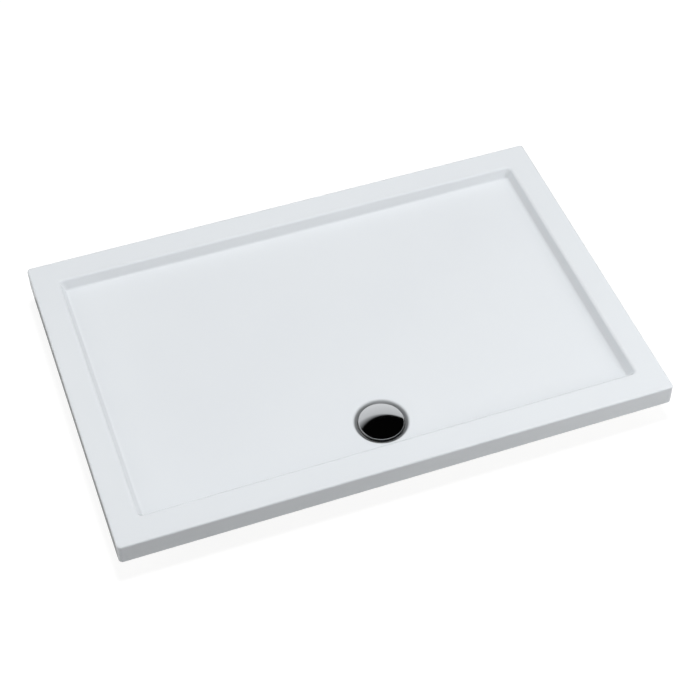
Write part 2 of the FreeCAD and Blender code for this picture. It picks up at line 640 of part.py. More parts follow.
def hair_strainer():
    wall = INSERT_RADIUS - INSERT_WALL - STRAINER_GAP
    rim = INSERT_RIM_RADIUS - STRAINER_RIM_INSET
    post_bore = STEM_RADIUS + STEM_FIT
    post_top = BASKET_FLOOR + STRAINER_POST_HEIGHT
    basket = turned([
        (post_bore, BASKET_FLOOR), (wall, BASKET_FLOOR), (wall, STRAINER_SEAT),
        (rim, STRAINER_SEAT), (rim, STRAINER_SEAT + STRAINER_SHEET),
        (wall - STRAINER_WALL, STRAINER_SEAT + STRAINER_SHEET),
        (wall - STRAINER_WALL, BASKET_FLOOR + STRAINER_SHEET),
        (STRAINER_POST_RADIUS, BASKET_FLOOR + STRAINER_SHEET), (STRAINER_POST_RADIUS, post_top),
        (post_bore, post_top),
    ], 0, WASTE_Y)
    for count, radius in STRAINER_RINGS:
        holes = [
            rod(STRAINER_HOLE_RADIUS, BASKET_FLOOR, BASKET_FLOOR + STRAINER_SHEET, x, y)
            for x, y, _ in around(count, radius, 0, WASTE_Y)
        ]
        basket = basket.cut(holes)
    return basket


def dome_height(radius, drop=0.0):
    """Height of the cover's outside at a radius, or of a face that lies below it."""
    edge = COVER_RADIUS
    sphere = (edge ** 2 + COVER_RISE ** 2) / (2 * COVER_RISE)
    crown = COVER_BASE + COVER_SKIRT + COVER_RISE
    return crown - sphere + math.sqrt((sphere - drop) ** 2 - radius ** 2)


def dome_cover():
    def dome_arc(radius, drop):
        heights = [(r, dome_height(r, drop)) for r in (0.0, radius / 2, radius)]
        return Part.Arc(*[point(r, 0, z) for r, z in heights]).toShape()

    inside = COVER_RADIUS - COVER_SHEET
    outer = dome_arc(COVER_RADIUS, 0.0)
    inner = dome_arc(inside, COVER_SHEET)
    corners = [
        outer.lastVertex().Point, point(COVER_RADIUS, 0, COVER_BASE),
        point(inside, 0, COVER_BASE), inner.lastVertex().Point,
    ]
    sides = [Part.makeLine(a, b) for a, b in zip(corners, corners[1:])]
    axis = Part.makeLine(inner.firstVertex().Point, outer.firstVertex().Point)
    face = Part.Face(Part.Wire(Part.sortEdges([outer, *sides, inner, axis])[0]))
    cover = face.revolve(point(0, 0), point(0, 0, 1), 360)
    shoulder = level_edges(cover, dome_height(COVER_RADIUS), lambda spot: True)
    cover = cover.makeFillet(COVER_EDGE_ROUND, shoulder)
    inner_shoulder = level_edges(cover, dome_height(inside, COVER_SHEET), lambda spot: True)
    cover = cover.makeFillet(COVER_EDGE_ROUND - COVER_SHEET, inner_shoulder)
    cover.translate(point(0, WASTE_Y))
    return cover


def cover_carrier():
    outer = COVER_RADIUS - COVER_SHEET - CARRIER_EDGE_GAP
    sheet_top = dome_height(outer, COVER_SHEET) - CARRIER_FIT
    sheet_base = sheet_top - CARRIER_SHEET
    carrier = ring(outer, outer - CARRIER_RING, sheet_base, sheet_top, 0, WASTE_Y)
    hub_top = dome_height(0, COVER_SHEET) - CARRIER_FIT
    carrier = carrier.fuse(rod(CARRIER_HUB_RADIUS, sheet_base, hub_top, 0, WASTE_Y))
    spoke = outer - CARRIER_RING / 2
    for x, y, angle in around(CARRIER_SPOKES, spoke / 2, 0, WASTE_Y, 90):
        carrier = carrier.fuse(block_at(spoke, CARRIER_SPOKE_WIDTH, sheet_base, sheet_top, x, y, angle))
    for x, y, angle in around(CARRIER_LEGS, outer - CARRIER_LEG_DEPTH / 2, 0, WASTE_Y, 30):
        carrier = carrier.fuse(
            block_at(CARRIER_LEG_DEPTH, CARRIER_LEG_WIDTH, FLANGE_TOP, sheet_base, x, y, angle)
        )
    stem = rod(STEM_RADIUS, BASKET_FLOOR + STEM_ABOVE_BASKET, sheet_base, 0, WASTE_Y)
    return carrier.fuse(stem).removeSplitter()


# ---- every piece by name ----
def all_pieces():
    pieces = {
        "tray_shell": tray_shell(),
        "glass_fibre_backing": glass_fibre_backing(),
        "floor_board": floor_board(),
        "underside_laminate": underside_laminate(),
        "socket_screws": socket_screws(),
        "lock_nuts": lock_nuts(),
        "dome_cover": dome_cover(),
        "cover_carrier": cover_carrier(),
        "hair_strainer": hair_strainer(),
        "trap_insert": trap_insert(),
        "insert_o_ring": insert_o_ring(),
        "waste_flange": waste_flange(),
        "flange_screws": flange_screws(),
        "top_gasket": ring(
            FLANGE_RADIUS - GASKET_INSET, WASTE_HOLE_RADIUS, SUMP_FLOOR, FLANGE_BASE, 0, WASTE_Y
        ),
        "bottom_gasket": ring(
            TRAP_COLLAR_RADIUS - GASKET_INSET, WASTE_HOLE_RADIUS, COLLAR_TOP, SUMP_UNDERSIDE, 0, WASTE_Y
        ),
        "trap_body": trap_body(),
        "outlet_nut": outlet_nut(),
        "outlet_seal": outlet_seal(),
    }
    pieces.update(battens())
    for place, (x, y) in FEET.items():
        pieces[f"foot_socket_{place}"] = foot_socket(x, y)
        pieces[f"foot_stud_{place}"] = foot_stud(x, y)
        pieces[f"foot_pad_{place}"] = foot_pad(x, y)
    return pieces


def main():
    os.makedirs("parts", exist_ok=True)
    for name, shape in all_pieces().items():
        solids = shape.Solids
        print(name, len(solids), "solid(s)", round(shape.Volume), "mm3", "valid", shape.isValid())
        out = solids[0] if len(solids) == 1 else Part.makeCompound(solids)
        out.exportStep(f"parts/{name}.step")


main()
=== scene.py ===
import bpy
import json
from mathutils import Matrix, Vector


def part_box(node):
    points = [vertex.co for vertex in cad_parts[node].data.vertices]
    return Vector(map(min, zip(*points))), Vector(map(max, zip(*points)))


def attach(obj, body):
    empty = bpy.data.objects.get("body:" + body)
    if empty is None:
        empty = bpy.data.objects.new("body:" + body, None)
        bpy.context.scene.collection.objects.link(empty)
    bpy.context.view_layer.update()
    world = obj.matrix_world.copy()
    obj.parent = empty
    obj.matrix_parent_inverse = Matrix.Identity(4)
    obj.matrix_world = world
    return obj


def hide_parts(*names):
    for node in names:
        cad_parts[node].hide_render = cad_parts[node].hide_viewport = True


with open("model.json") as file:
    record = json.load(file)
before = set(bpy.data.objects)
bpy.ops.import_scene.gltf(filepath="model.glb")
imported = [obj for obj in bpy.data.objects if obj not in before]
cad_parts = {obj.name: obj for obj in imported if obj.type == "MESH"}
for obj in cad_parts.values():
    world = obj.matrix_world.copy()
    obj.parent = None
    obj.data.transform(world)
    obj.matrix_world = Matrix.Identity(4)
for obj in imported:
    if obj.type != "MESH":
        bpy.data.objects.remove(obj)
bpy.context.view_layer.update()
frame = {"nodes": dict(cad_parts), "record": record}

import json
import math

import bmesh
import bpy
from mathutils import Matrix, Vector

# White acrylic shower tray on screw feet, with its chrome waste cover and the trap below.
# Metres, in the frame's own coordinates: Z is up and the waste lies near the front edge.

scene = bpy.context.scene
mm = 0.001
weld = 0.001 * mm           # corners nearer than this are one
touch = 0.01 * mm           # lengths that differ by less are the same


def linked(name, data):
    thing = bpy.data.objects.new(name, data)
    scene.collection.objects.link(thing)
    return thing


def centreOf(node):
    low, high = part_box(node)
    return (low + high) / 2


footPlaces = sorted(name[len("foot_pad_"):] for name in frame["nodes"] if name.startswith("foot_pad_"))
wasteAxis = centreOf("dome_cover")
wasteAxis.z = 0
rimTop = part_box("tray_shell")[1].z
print("frame loaded,", len(frame["nodes"]), "nodes,", len(footPlaces), "feet")


# node helpers for the materials
tintEdges = (0.35, 0.65)        # noise values between which one tint turns into the other
heightsLost = (1, 1, 1000)      # a stretch so great that a distance counts only across the waste's axis


def emptyTree(owner, outputType):
    owner.use_nodes = True
    tree = owner.node_tree
    tree.nodes.clear()
    return tree, tree.nodes.new(outputType)


def newMaterial(name):
    material = bpy.data.materials.new(name)
    tree, output = emptyTree(material, "ShaderNodeOutputMaterial")
    shader = tree.nodes.new("ShaderNodeBsdfPrincipled")
    tree.links.new(shader.outputs["BSDF"], output.inputs["Surface"])
    return material, tree, shader


def placed(tree, centre=(0, 0, 0), turn=(0, 0, 0), stretch=(1, 1, 1)):
    # object coordinates, centred, turned and stretched for a pattern
    coordinates = tree.nodes.new("ShaderNodeTexCoord")
    mapping = tree.nodes.new("ShaderNodeMapping")
    mapping.vector_type = "TEXTURE"
    mapping.inputs["Location"].default_value = centre
    mapping.inputs["Rotation"].default_value = turn
    mapping.inputs["Scale"].default_value = stretch
    tree.links.new(coordinates.outputs["Object"], mapping.inputs["Vector"])
    return mapping.outputs["Vector"]


def noise(tree, vector, scale, detail=2.0, roughness=0.5, distortion=0.0):
    texture = tree.nodes.new("ShaderNodeTexNoise")
    texture.inputs["Scale"].default_value = scale
    texture.inputs["Detail"].default_value = detail
    texture.inputs["Roughness"].default_value = roughness
    texture.inputs["Distortion"].default_value = distortion
    tree.links.new(vector, texture.inputs["Vector"])
    return texture.outputs["Fac"]


def cells(tree, vector, scale, output="Distance"):
    texture = tree.nodes.new("ShaderNodeTexVoronoi")
    texture.inputs["Scale"].default_value = scale
    tree.links.new(vector, texture.inputs["Vector"])
    return texture.outputs[output]


def between(tree, value, low, high, fromLow=0.0, fromHigh=1.0):
    # a value brought from one range into another, and held at its ends
    spread = tree.nodes.new("ShaderNodeMapRange")
    spread.inputs["From Min"].default_value = fromLow
    spread.inputs["From Max"].default_value = fromHigh
    spread.inputs["To Min"].default_value = low
    spread.inputs["To Max"].default_value = high
    tree.links.new(value, spread.inputs["Value"])
    return spread.outputs["Result"]


def combined(tree, operation, first, second):
    node = tree.nodes.new("ShaderNodeMath")
    node.operation = operation
    for socket, value in zip(node.inputs, (first, second)):
        if isinstance(value, (int, float)):
            socket.default_value = value
        else:
            tree.links.new(value, socket)
    return node.outputs["Value"]


def colours(tree, value, stops):
    ramp = tree.nodes.new("ShaderNodeValToRGB")
    elements = ramp.color_ramp.elements
    while len(elements) < len(stops):
        elements.new(0.5)
    for element, (position, colour) in zip(elements, stops):
        element.position = position
        element.color = (*colour, 1)
    tree.links.new(value, ramp.inputs["Fac"])
    return ramp.outputs["Color"]


def twoTints(tree, value, first, second, edges=tintEdges):
    return colours(tree, value, list(zip(edges, (first, second))))


def bumped(tree, shader, height, distance):
    bump = tree.nodes.new("ShaderNodeBump")
    bump.inputs["Strength"].default_value = 1.0
    bump.inputs["Distance"].default_value = distance
    tree.links.new(height, bump.inputs["Height"])
    tree.links.new(bump.outputs["Normal"], shader.inputs["Normal"])


def mixedBy(tree, share, first, second):
    mix = tree.nodes.new("ShaderNodeMixShader")
    for socket, value in zip(mix.inputs, (share, first, second)):
        tree.links.new(value, socket)
    return mix.outputs["Shader"]


def scaledBy(tree, vector, factor):
    node = tree.nodes.new("ShaderNodeVectorMath")
    node.operation = "SCALE"
    tree.links.new(vector, node.inputs[0])
    tree.links.new(factor, node.inputs["Scale"])
    return node.outputs["Vector"]


# sanitary acrylic: glossy, cool white, with the faint waviness of a drawn sheet, and painted shade in the
# sump round the waste
acrylicLook = {
    "colour": (0.785, 0.815, 0.842),
    "colourInPatches": (0.774, 0.804, 0.833),
    "patchesPerMetre": 4.0,
    "roughness": (0.10, 0.17),
    "refraction": 1.49,
    "wipesPerMetre": 30.0,
    "wipeStretch": 6,
    "wavesPerMetre": 16.0,
    "waveHeight": 0.02 * mm,
    "recess": (51.0 * mm, 62.0 * mm),   # painted shade in the sump round the waste: from the waste's axis, the colour darkens from the second inwards
    "recessShade": 0.34,                # share of the colour that is left from the first inwards, the darkest of the painted shade
}


def acrylicMaterial():
    material, tree, shader = newMaterial("acrylicWhite")
    here = placed(tree)
    patches = noise(tree, here, acrylicLook["patchesPerMetre"], 3.0)
    tint = twoTints(tree, patches, acrylicLook["colourInPatches"], acrylicLook["colour"])
    # painted shade: the colour darkens towards the waste inside the sump, standing in for the shade in that
    # recess
    away = tree.nodes.new("ShaderNodeVectorMath")
    away.operation = "LENGTH"
    tree.links.new(placed(tree, centre=wasteAxis, stretch=heightsLost), away.inputs[0])
    inner, outer = acrylicLook["recess"]
    shade = between(tree, away.outputs["Value"], acrylicLook["recessShade"], 1.0, inner, outer)
    shade.node.interpolation_type = "SMOOTHSTEP"
    tree.links.new(scaledBy(tree, tint, shade), shader.inputs["Base Color"])
    along = placed(tree, stretch=(1, acrylicLook["wipeStretch"], 1))
    wiped = noise(tree, along, acrylicLook["wipesPerMetre"], 6.0, 0.65)
    tree.links.new(between(tree, wiped, *acrylicLook["roughness"]), shader.inputs["Roughness"])
    shader.inputs["IOR"].default_value = acrylicLook["refraction"]
    waves = noise(tree, here, acrylicLook["wavesPerMetre"], 2.0)
    bumped(tree, shader, waves, acrylicLook["waveHeight"])
    return material


# mirror chrome with a breath of wiping marks
chromeLook = {
    "colour": (0.80, 0.81, 0.82),
    "roughness": (0.03, 0.075),
    "marksPerMetre": 160.0,
    "markTurn": 0.6,
    "markStretch": 5,
}


def chromeMaterial():
    material, tree, shader = newMaterial("mirrorChrome")
    shader.inputs["Base Color"].default_value = (*chromeLook["colour"], 1)
    shader.inputs["Metallic"].default_value = 1.0
    along = placed(tree, turn=(0, 0, chromeLook["markTurn"]), stretch=(1, chromeLook["markStretch"], 1))
    marks = noise(tree, along, chromeLook["marksPerMetre"], 5.0, 0.6)
    tree.links.new(between(tree, marks, *chromeLook["roughness"]), shader.inputs["Roughness"])
    return material


# turned stainless steel: fine rings round the waste
steelLook = {
    "colour": (0.58, 0.58, 0.57),
    "roughness": (0.16, 0.28),
    "anisotropy": 0.4,
    "ringsPerMetre": 900.0,
    "ringWobble": 0.4,
    "ringHeight": 0.004 * mm,
}


def polishedSteelMaterial():
    material, tree, shader = newMaterial("polishedSteel")
    shader.inputs["Metallic"].default_value = 1.0
    shader.inputs["Anisotropic"].default_value = steelLook["anisotropy"]
    shader.inputs["Base Color"].default_value = (*steelLook["colour"], 1)
    here = placed(tree, centre=wasteAxis)
    rings = tree.nodes.new("ShaderNodeTexWave")
    rings.wave_type = "RINGS"
    rings.rings_direction = "Z"
    rings.inputs["Scale"].default_value = steelLook["ringsPerMetre"]
    rings.inputs["Distortion"].default_value = steelLook["ringWobble"]
    tree.links.new(here, rings.inputs["Vector"])
    tree.links.new(between(tree, rings.outputs["Fac"], *steelLook["roughness"]), shader.inputs["Roughness"])
    bumped(tree, shader, rings.outputs["Fac"], steelLook["ringHeight"])
    return material


# bright zinc plating: cool grey with cloudy passivation
zincLook = {
    "stops": [(0.3, (0.50, 0.52, 0.55)), (0.55, (0.60, 0.60, 0.60)), (0.75, (0.60, 0.58, 0.52))],
    "roughness": (0.24, 0.42),
    "cloudsPerMetre": 120.0,
    "grainPerMetre": 1400.0,
    "grainHeight": 0.02 * mm,
}


def zincMaterial():
    material, tree, shader = newMaterial("zincPlating")
    here = placed(tree)
    clouds = noise(tree, here, zincLook["cloudsPerMetre"], 4.0, 0.6)
    tree.links.new(colours(tree, clouds, zincLook["stops"]), shader.inputs["Base Color"])
    shader.inputs["Metallic"].default_value = 1.0
    tree.links.new(between(tree, clouds, *zincLook["roughness"]), shader.inputs["Roughness"])
    bumped(tree, shader, noise(tree, here, zincLook["grainPerMetre"], 3.0), zincLook["grainHeight"])
    return material


# moulded plastics and rubber share one recipe: a fine spark-eroded grain and slow colour drift
driftPerMetre = 35.0
mouldedLooks = {
    "blackPlastic": {"stops": ((0.014, 0.014, 0.015), (0.024, 0.024, 0.025)), "roughness": (0.42, 0.56),
                     "grainPerMetre": 2400.0, "grainHeight": 0.03 * mm},
    "greyPlastic": {"stops": ((0.25, 0.26, 0.27), (0.30, 0.31, 0.32)), "roughness": (0.32, 0.42),
                    "grainPerMetre": 1800.0, "grainHeight": 0.012 * mm},
    "whitePlastic": {"stops": ((0.66, 0.66, 0.63), (0.72, 0.72, 0.70)), "roughness": (0.30, 0.42),
                     "grainPerMetre": 1500.0, "grainHeight": 0.015 * mm},
    "blackRubber": {"stops": ((0.012, 0.012, 0.012), (0.022, 0.021, 0.020)), "roughness": (0.62, 0.80),
                    "grainPerMetre": 1100.0, "grainHeight": 0.04 * mm},
}


def mouldedMaterial(name):
    look = mouldedLooks[name]
    material, tree, shader = newMaterial(name)
    here = placed(tree)
    drift = noise(tree, here, driftPerMetre, 4.0, 0.6)
    tree.links.new(twoTints(tree, drift, *look["stops"]), shader.inputs["Base Color"])
    tree.links.new(between(tree, drift, *look["roughness"]), shader.inputs["Roughness"])
    grain = noise(tree, here, look["grainPerMetre"], 2.0)
    bumped(tree, shader, grain, look["grainHeight"])
    return material


# chopped glass strands, laid in all directions under a coat of yellowish resin
fibreLook = {
    "resin": (0.46, 0.43, 0.30),
    "strand": (0.74, 0.72, 0.60),
    "strandTurns": (0.2, 0.95, 1.7, 2.35, 2.9),
    "strandStretch": 22.0,
    "strandsPerMetre": 520.0,
    "strandHeight": 0.22 * mm,
    "strandEdges": (0.60, 0.80),        # noise values where a strand begins and is whole
    "layerShift": (0.31, 0.17),         # metres from the pattern of one layer to that of the next
    "blotchesPerMetre": 14.0,
    "blotchEdges": (0.3, 0.6),          # noise values where a blotch begins and is whole
    "faintStrand": 0.45,                # share of a strand that shows between the blotches
    "blotchRise": 2.5,                  # height of the blotches' noise, in strands
    "roughness": (0.30, 0.62),
}


def glassFibreMaterial():
    material, tree, shader = newMaterial("glassFibre")
    strands = None
    shiftX, shiftY = fibreLook["layerShift"]
    for n, turn in enumerate(fibreLook["strandTurns"]):
        along = placed(tree, centre=(shiftX * n, shiftY * n, 0.0), turn=(0, 0, turn),
                       stretch=(fibreLook["strandStretch"], 1, fibreLook["strandStretch"]))
        lines = noise(tree, along, fibreLook["strandsPerMetre"], 1.0, 0.4, 0.2)
        strands = lines if strands is None else combined(tree, "MAXIMUM", strands, lines)
    fibre = between(tree, strands, 0.0, 1.0, *fibreLook["strandEdges"])
    blotches = noise(tree, placed(tree), fibreLook["blotchesPerMetre"], 5.0, 0.6)
    shown = between(tree, blotches, fibreLook["faintStrand"], 1.0, *fibreLook["blotchEdges"])
    mixed = combined(tree, "MULTIPLY", fibre, shown)
    tint = twoTints(tree, mixed, fibreLook["resin"], fibreLook["strand"], (0.0, 0.9))
    tree.links.new(tint, shader.inputs["Base Color"])
    tree.links.new(between(tree, blotches, *fibreLook["roughness"]), shader.inputs["Roughness"])
    rough = combined(tree, "ADD", fibre, between(tree, blotches, 0.0, fibreLook["blotchRise"]))
    bumped(tree, shader, rough, fibreLook["strandHeight"])
    return material


# pressed wood chips
chipboardLook = {
    "stops": [
        (0.0, (0.20, 0.12, 0.06)), (0.35, (0.42, 0.29, 0.16)),
        (0.7, (0.55, 0.41, 0.25)), (1.0, (0.66, 0.54, 0.36)),
    ],
    "chipsPerMetre": 420.0,
    "chipStretch": (1.0, 1.6, 0.5),
    "chipHeight": 0.3 * mm,
    "roughness": 0.85,
}


def chipboardMaterial():
    material, tree, shader = newMaterial("chipboard")
    chips = placed(tree, stretch=chipboardLook["chipStretch"])
    tone = cells(tree, chips, chipboardLook["chipsPerMetre"], output="Color")
    grey = tree.nodes.new("ShaderNodeRGBToBW")
    tree.links.new(tone, grey.inputs["Color"])
    tree.links.new(colours(tree, grey.outputs["Val"], chipboardLook["stops"]), shader.inputs["Base Color"])
    shader.inputs["Roughness"].default_value = chipboardLook["roughness"]
    bumped(tree, shader, cells(tree, chips, chipboardLook["chipsPerMetre"]), chipboardLook["chipHeight"])
    return material


# planed softwood, grain along the batten
timberLook = {
    "pale": (0.60, 0.42, 0.24),
    "dark": (0.42, 0.26, 0.12),
    "ringsPerMetre": 60.0,
    "ringWobble": 5.0,
    "ringStretch": (14, 1, 1),
    "ringEdges": (0.2, 0.8),
    "grainHeight": 0.1 * mm,
    "roughness": 0.7,
}


def timberMaterial(name, turn):
    material, tree, shader = newMaterial(name)
    bands = tree.nodes.new("ShaderNodeTexWave")
    bands.bands_direction = "Y"
    bands.inputs["Scale"].default_value = timberLook["ringsPerMetre"]
    bands.inputs["Distortion"].default_value = timberLook["ringWobble"]
    bands.inputs["Detail"].default_value = 3.0
    along = placed(tree, turn=(0, 0, turn), stretch=timberLook["ringStretch"])
    tree.links.new(along, bands.inputs["Vector"])
    rings = bands.outputs["Fac"]
    tint = twoTints(tree, rings, timberLook["dark"], timberLook["pale"], timberLook["ringEdges"])
    tree.links.new(tint, shader.inputs["Base Color"])
    shader.inputs["Roughness"].default_value = timberLook["roughness"]
    bumped(tree, shader, rings, timberLook["grainHeight"])
    return material


looks = {
    "acrylic": acrylicMaterial(),
    "glass_fibre": glassFibreMaterial(),
    "chipboard": chipboardMaterial(),
    "timber": timberMaterial("timberLong", 0.0),
    "black_plastic": mouldedMaterial("blackPlastic"),
    "white_plastic": mouldedMaterial("whitePlastic"),
    "grey_plastic": mouldedMaterial("greyPlastic"),
    "zinc_steel": zincMaterial(),
    "polished_steel": polishedSteelMaterial(),
    "chrome": chromeMaterial(),
    "black_rubber": mouldedMaterial("blackRubber"),
}
timberAcross = timberMaterial("timberAcross", math.pi / 2)
slotOf = {part["node"]: part["material_slot"] for part in frame["record"]["subparts"]}


def dress(piece, material):
    piece.data.materials.clear()
    piece.data.materials.append(material)


for nodeName, node in frame["nodes"].items():
    dress(node, looks[slotOf[nodeName]])
for side in ("left", "right"):
    dress(frame["nodes"]["rim_batten_" + side], timberAcross)
print("materials made,", len(bpy.data.materials))


# pieces modelled here stand for the CAD nodes they replace and ride on the same bodies
bodyOf = {
    node: body for body, nodes in frame["record"]["behaviour"]["bodies"].items() for node in nodes
}
sharpFrom = math.radians(32)    # edges that turn further than this stay crisp


def addPiece(name, bm, nodeName):
    for face in bm.faces:
        face.smooth = True
    for edge in bm.edges:
        edge.smooth = len(edge.link_faces) == 2 and edge.calc_face_angle() < sharpFrom
    mesh = bpy.data.meshes.new(name)
    bm.to_mesh(mesh)
    bm.free()
    piece = linked(name, mesh)
    dress(piece, frame["nodes"][nodeName].data.materials[0])
    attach(piece, bodyOf[nodeName])
    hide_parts(nodeName)
    return piece


def evenShading(piece):
    # large flat faces keep their own normals beside small rounds
    normals = piece.modifiers.new("normals", "WEIGHTED_NORMAL")
    normals.keep_sharp = True


def edgesOf(verts):
    return list({edge for vert in verts for edge in vert.link_edges})


def bend(centreRun, centreHeight, radius, start, end, steps):
    # points along an arc, as (run outwards, height), with angles from straight up towards the outside
    for n in range(steps + 1):
        angle = start + (end - start) * n / steps
        yield centreRun + radius * math.sin(angle), centreHeight + radius * math.cos(angle), n / steps


def rounded(bm, verts, radius, turn, steps):
    # rounds corners of a line, given the radius and how far the line turns there
    bmesh.ops.bevel(bm, geom=verts, offset=radius * math.tan(turn / 2), segments=steps,
                    affect="VERTICES", profile=0.5, material=-1)


def lathe(bm, axis, steps):
    # spins the loose line in a bmesh round a vertical axis
    bmesh.ops.spin(bm, geom=bm.verts[:] + bm.edges[:], cent=axis, axis=(0, 0, 1), angle=2 * math.pi,
                   steps=steps, use_merge=True)
    bmesh.ops.remove_doubles(bm, verts=bm.verts, dist=weld)
    bmesh.ops.recalc_face_normals(bm, faces=bm.faces)


# the tray: rounded rectangles bridged from the apron over the rim and down to the floor, then the sump
traySize = {
    "shortRim": 58 * mm,
    "longRim": 62 * mm,
    "outerCorner": 9 * mm,
    "outerRound": 4 * mm,
    "innerCorner": 8 * mm,
    "innerRound": 8 * mm,
    "depth": 28 * mm,
    "lean": math.radians(27),
    "footRound": 7 * mm,
    "slope": 0.008,
    "sumpRadius": 57.5 * mm,
    "sumpReach": 61.5 * mm,       # where the even floor begins
    "sumpDepth": 10 * mm,
    "sumpRun": 5.5 * mm,
    "sumpLip": 5 * mm,
    "sumpFoot": 3 * mm,
    "holeRadius": 45 * mm,
    "sheet": 3.9 * mm,
    "cornerSteps": 9,
    "longCuts": 46,
    "shortCuts": 30,
    "roundSteps": 8,
    "floorCuts": 9,
    "footReach": 0.4 * mm,      # above half the foot's round, up to where a wall follows the floor's fall
    "sumpLipSteps": 6,
    "sumpFootSteps": 5,
    "sumpSteps": 192,           # as many as a ring has corners
}


def ringVerts(bm, number):
    # the corners of a numbered ring, or with 0 those that have no number yet
    numbers = bm.verts.layers.int["ring"]
    return [vert for vert in bm.verts if vert[numbers] == number]


def ringEdges(bm, number):
    verts = set(ringVerts(bm, number))
    return [edge for edge in edgesOf(verts) if verts.issuperset(edge.verts)]


def roundedRing(bm, number, halfX, halfY, radius, height):
    # a level rounded rectangle of loose edges, with as many corners at any size
    place = Matrix.Translation((0, 0, height)) @ Matrix.Diagonal((halfX, halfY, 1, 1))
    corners = bmesh.ops.create_grid(bm, x_segments=1, y_segments=1, size=1, matrix=place)["verts"]
    rounded(bm, corners, radius, math.pi / 2, traySize["cornerSteps"])
    inside = {face for vert in ringVerts(bm, 0) for face in vert.link_faces}
    bmesh.ops.delete(bm, geom=list(inside), context="FACES_ONLY")
    for side, cuts in ((0, traySize["shortCuts"]), (1, traySize["longCuts"])):
        straight = [
            edge for edge in ringEdges(bm, 0)
            if edge.calc_length() > halfY
            and abs(edge.verts[0].co[side] - edge.verts[1].co[side]) < touch
        ]
        bmesh.ops.subdivide_edges(bm, edges=straight, cuts=cuts)
    numbers = bm.verts.layers.int["ring"]
    for vert in ringVerts(bm, 0):
        vert[numbers] = number


def trayRings():
    # half length, half width, corner radius and height of each ring, from the apron's foot inwards
    low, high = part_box("tray_shell")
    halfX, halfY = high.x, high.y
    size = traySize
    yield halfX, halfY, size["outerCorner"], low.z
    outer = size["outerRound"]
    for run, height, _ in bend(-outer, rimTop - outer, outer, math.pi / 2, 0, size["roundSteps"]):
        yield halfX + run, halfY + run, size["outerCorner"] + run, height
    basinX, basinY = halfX - size["shortRim"], halfY - size["longRim"]
    turn = math.pi / 2 - size["lean"]
    inner = size["innerRound"]
    reach = inner * math.tan(turn / 2)
    for run, height, share in bend(reach, rimTop - inner, inner, 0, -turn, size["roundSteps"]):
        yield basinX + run, basinY + run, size["innerCorner"] + reach * (1 - share), height
    foot = size["footRound"]
    reach = foot * math.tan(turn / 2)
    floor = rimTop - size["depth"]
    inwards = -size["depth"] * math.tan(size["lean"]) - reach
    for run, height, share in bend(inwards, floor + foot, foot, math.pi - turn, math.pi, size["roundSteps"]):
        yield basinX + run, basinY + run, size["innerCorner"] - reach * share, height


def trayShell():
    size = traySize
    bm = bmesh.new()
    bm.verts.layers.int.new("ring")
    last = 0
    for number, ring in enumerate(trayRings(), 1):
        roundedRing(bm, number, *ring)
        if last:
            bmesh.ops.bridge_loops(bm, edges=ringEdges(bm, last) + ringEdges(bm, number))
        last = number
    floor = rimTop - size["depth"]
    sumpFloor = floor - size["sumpDepth"]
    line = [
        (size["sumpReach"], floor), (size["sumpRadius"], floor),
        (size["sumpRadius"] - size["sumpRun"], sumpFloor), (size["holeRadius"], sumpFloor),
    ]
    verts = [bm.verts.new((wasteAxis.x + radius, wasteAxis.y, height)) for radius, height in line]
    for pair in zip(verts, verts[1:]):
        bm.edges.new(pair)
    turn = math.atan2(size["sumpDepth"], size["sumpRun"])
    rounded(bm, verts[1:2], size["sumpLip"], turn, size["sumpLipSteps"])
    rounded(bm, verts[2:3], size["sumpFoot"], turn, size["sumpFootSteps"])
    bmesh.ops.spin(bm, geom=ringVerts(bm, 0) + ringEdges(bm, 0), cent=wasteAxis, axis=(0, 0, 1),
                   angle=2 * math.pi, steps=size["sumpSteps"], use_merge=True)

    def away(vert):
        return (vert.co.xy - wasteAxis.xy).length

    rim = [
        edge for edge in bm.edges
        if len(edge.link_faces) == 1
        and all(abs(away(vert) - size["sumpReach"]) < touch for vert in edge.verts)
    ]
    across = bmesh.ops.bridge_loops(bm, edges=ringEdges(bm, last) + rim)["edges"]
    bmesh.ops.subdivide_edges(bm, edges=across, cuts=size["floorCuts"], use_grid_fill=True)
    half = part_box("tray_shell")[1]
    highestFoot = floor + size["footRound"] / 2 + size["footReach"]
    for vert in bm.verts:   # the floor falls to the waste, and the foot of each wall follows it
        if floor - touch < vert.co.z < highestFoot and away(vert) > size["sumpRadius"]:
            rise = (away(vert) - size["sumpRadius"]) * size["slope"]
            outwards = rise * math.tan(size["lean"])
            vert.co.x *= 1 + outwards / (half.x - size["shortRim"])
            vert.co.y *= 1 + outwards / (half.y - size["longRim"])
            vert.co.z += rise
    bmesh.ops.recalc_face_normals(bm, faces=bm.faces)
    bm.faces.ensure_lookup_table()
    highest = max(bm.faces, key=lambda face: face.calc_center_median().z)
    if highest.normal.z < 0:
        bmesh.ops.reverse_faces(bm, faces=bm.faces)
    piece = addPiece("trayShell", bm, "tray_shell")
    sheet = piece.modifiers.new("sheet", "SOLIDIFY")
    sheet.thickness = size["sheet"]
    sheet.offset = -1
    sheet.use_even_offset = True
    evenShading(piece)


trayShell()


# the waste cover: a shallow dome with a rounded shoulder and a short skirt, open below
coverSize = {
    "rise": 5.2 * mm,
    "sheet": 1.2 * mm,
    "shoulder": 1.0 * mm,
    "lip": 0.4 * mm,
    "arcSteps": 24,
    "shoulderSteps": 8,
    "edgeSteps": 3,             # for the inner shoulder and the lip
    "steps": 192,
}


